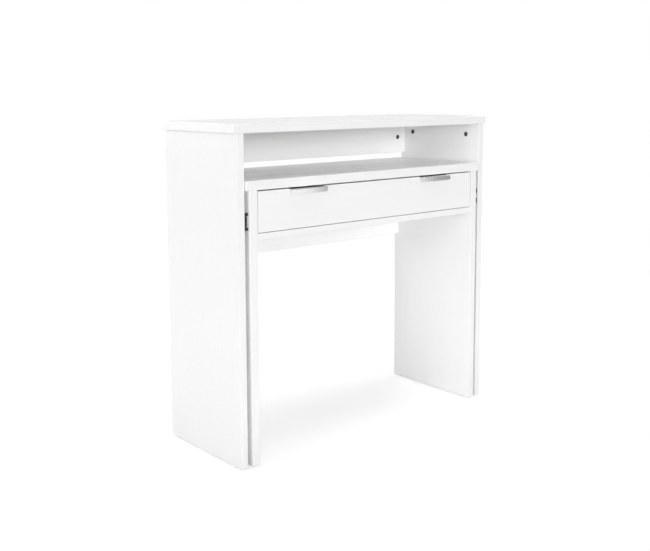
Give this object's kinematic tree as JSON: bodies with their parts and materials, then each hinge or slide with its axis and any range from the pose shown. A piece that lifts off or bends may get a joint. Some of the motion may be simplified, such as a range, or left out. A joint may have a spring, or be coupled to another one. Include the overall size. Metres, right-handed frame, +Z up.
{
  "type": "pull-out console desk",
  "caption": "White console table with an inner desk that pulls out on telescopic ball slides, with a wide drawer under its worktop.",
  "frame": {"origin": "on the floor, at the middle of the closed table's box", "axes": "+X to the right along the width, -Y to the front where the desk pulls out, +Z up"},
  "size_m": [0.96, 0.354, 0.9],
  "materials": {
    "white_board": "white melamine on particleboard, edges banded, smooth satin",
    "cam_zinc": "bare die-cast zinc, dull",
    "fixing_steel": "zinc-plated steel",
    "dowel_beech": "raw beech",
    "glide_plastic": "moulded polypropylene",
    "slide_steel": "bright zinc-plated rolled sheet",
    "cage_steel": "thin plated sheet",
    "ball_steel": "polished balls, greased",
    "cap_plastic": "black moulded plastic",
    "runner_enamel": "white stoved epoxy on steel sheet",
    "roller_nylon": "white nylon",
    "pull_metal": "satin bent sheet"
  },
  "bodies": {
    "carcass": {"top_panel": "white_board", "left_side_panel": "white_board", "right_side_panel": "white_board", "upper_back_rail": "white_board", "carcass_cam_locks": "cam_zinc", "carcass_cam_bolts": "fixing_steel", "carcass_dowels": "dowel_beech", "carcass_glides": "glide_plastic", "left_slide_cabinet_member": "slide_steel", "right_slide_cabinet_member": "slide_steel", "cabinet_member_screws": "fixing_steel"},
    "desk": {"worktop": "white_board", "left_leg_panel": "white_board", "right_leg_panel": "white_board", "drawer_shelf": "white_board", "desk_back_rail": "white_board", "desk_cam_locks": "cam_zinc", "desk_cam_bolts": "fixing_steel", "desk_dowels": "dowel_beech", "desk_glides": "glide_plastic", "left_slide_desk_member": "slide_steel", "right_slide_desk_member": "slide_steel", "desk_member_screws": "fixing_steel", "left_runner_leg_profile": "runner_enamel", "right_runner_leg_profile": "runner_enamel", "leg_profile_screws": "fixing_steel"},
    "slide_middle": {"left_slide_middle_member": "slide_steel", "right_slide_middle_member": "slide_steel", "middle_member_end_caps": "cap_plastic"},
    "outer_cages": {"outer_ball_cages": "cage_steel", "outer_balls": "ball_steel"},
    "inner_cages": {"inner_ball_cages": "cage_steel", "inner_balls": "ball_steel"},
    "drawer": {"drawer_front": "white_board", "drawer_left_side": "white_board", "drawer_right_side": "white_board", "drawer_back": "white_board", "drawer_bottom": "white_board", "drawer_cam_locks": "cam_zinc", "drawer_cam_bolts": "fixing_steel", "drawer_back_screws": "fixing_steel", "drawer_bottom_screws": "fixing_steel", "left_edge_pull": "pull_metal", "right_edge_pull": "pull_metal", "edge_pull_screws": "fixing_steel", "left_runner_drawer_profile": "runner_enamel", "right_runner_drawer_profile": "runner_enamel", "drawer_profile_screws": "fixing_steel"},
    "left_front_roller": {"left_front_roller": "roller_nylon"},
    "right_front_roller": {"right_front_roller": "roller_nylon"},
    "left_rear_roller": {"left_rear_roller": "roller_nylon"},
    "right_rear_roller": {"right_rear_roller": "roller_nylon"}
  },
  "joints": [
    {"name": "desk_slide", "type": "slide", "parent": "carcass", "child": "desk", "axis": [0, -1, 0], "range_m": [0, 0.3]},
    {"name": "middle_member_slide", "type": "slide", "parent": "carcass", "child": "slide_middle", "axis": [0, -1, 0], "range_m": [0, 0.15]},
    {"name": "outer_cage_slide", "type": "slide", "parent": "carcass", "child": "outer_cages", "axis": [0, -1, 0], "range_m": [0, 0.075]},
    {"name": "inner_cage_slide", "type": "slide", "parent": "slide_middle", "child": "inner_cages", "axis": [0, -1, 0], "range_m": [0, 0.075]},
    {"name": "drawer_slide", "type": "slide", "parent": "desk", "child": "drawer", "axis": [0, -1, 0], "range_m": [0, 0.205]},
    {"name": "left_front_roller_spin", "type": "hinge", "parent": "desk", "child": "left_front_roller", "pos_m": [-0.40455, -0.129, 0.6367], "axis": [1, 0, 0], "range_deg": [0, 1080]},
    {"name": "left_rear_roller_spin", "type": "hinge", "parent": "drawer", "child": "left_rear_roller", "pos_m": [-0.40455, 0.109, 0.6348], "axis": [1, 0, 0], "range_deg": [0, 1080]},
    {"name": "right_front_roller_spin", "type": "hinge", "parent": "desk", "child": "right_front_roller", "pos_m": [0.40455, -0.129, 0.6367], "axis": [1, 0, 0], "range_deg": [0, 1080]},
    {"name": "right_rear_roller_spin", "type": "hinge", "parent": "drawer", "child": "right_rear_roller", "pos_m": [0.40455, 0.109, 0.6348], "axis": [1, 0, 0], "range_deg": [0, 1080]}
  ],
  "couplings": [
    {"joint": "middle_member_slide", "follows": "desk_slide", "ratio": 0.5},
    {"joint": "outer_cage_slide", "follows": "desk_slide", "ratio": 0.25},
    {"joint": "inner_cage_slide", "follows": "desk_slide", "ratio": 0.25},
    {"joint": "left_front_roller_spin", "follows": "drawer_slide", "rad_per_m": 90.909},
    {"joint": "left_rear_roller_spin", "follows": "drawer_slide", "rad_per_m": 90.909},
    {"joint": "right_front_roller_spin", "follows": "drawer_slide", "rad_per_m": 90.909},
    {"joint": "right_rear_roller_spin", "follows": "drawer_slide", "rad_per_m": 90.909}
  ]
}
